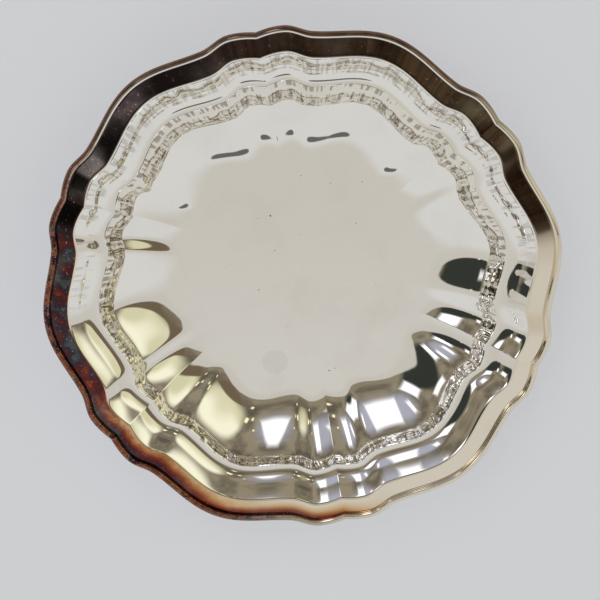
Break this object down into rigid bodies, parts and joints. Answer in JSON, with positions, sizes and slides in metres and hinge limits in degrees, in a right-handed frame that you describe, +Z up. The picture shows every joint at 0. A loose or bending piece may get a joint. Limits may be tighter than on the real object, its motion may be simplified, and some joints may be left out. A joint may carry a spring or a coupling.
{
  "type": "offering plate",
  "caption": "Round silver-plated offering plate: flat centre, two fluted coves with a step between, sloping border and a lobed pie-crust edge with an applied rim moulding.",
  "frame": {"origin": "centre of the flat underside, on the surface that the plate rests on", "axes": "+Z up out of the dish, +X through a cusp of the rim (the mitre between moulding lengths 6 and 1), +Y through the crown of the wide lobe of length 2"},
  "size_m": [0.2986, 0.3048, 0.0334],
  "materials": {
    "silver_plate": "mirror-polished silver plate on brass, toned brown and blue along the border",
    "rim_plate": "polished silver plate on brass, heavily tarnished on one side"
  },
  "bodies": {
    "root": {"dish": "silver_plate", "rim_moulding_1": "rim_plate", "rim_moulding_2": "rim_plate", "rim_moulding_3": "rim_plate", "rim_moulding_4": "rim_plate", "rim_moulding_5": "rim_plate", "rim_moulding_6": "rim_plate"}
  },
  "joints": []
}
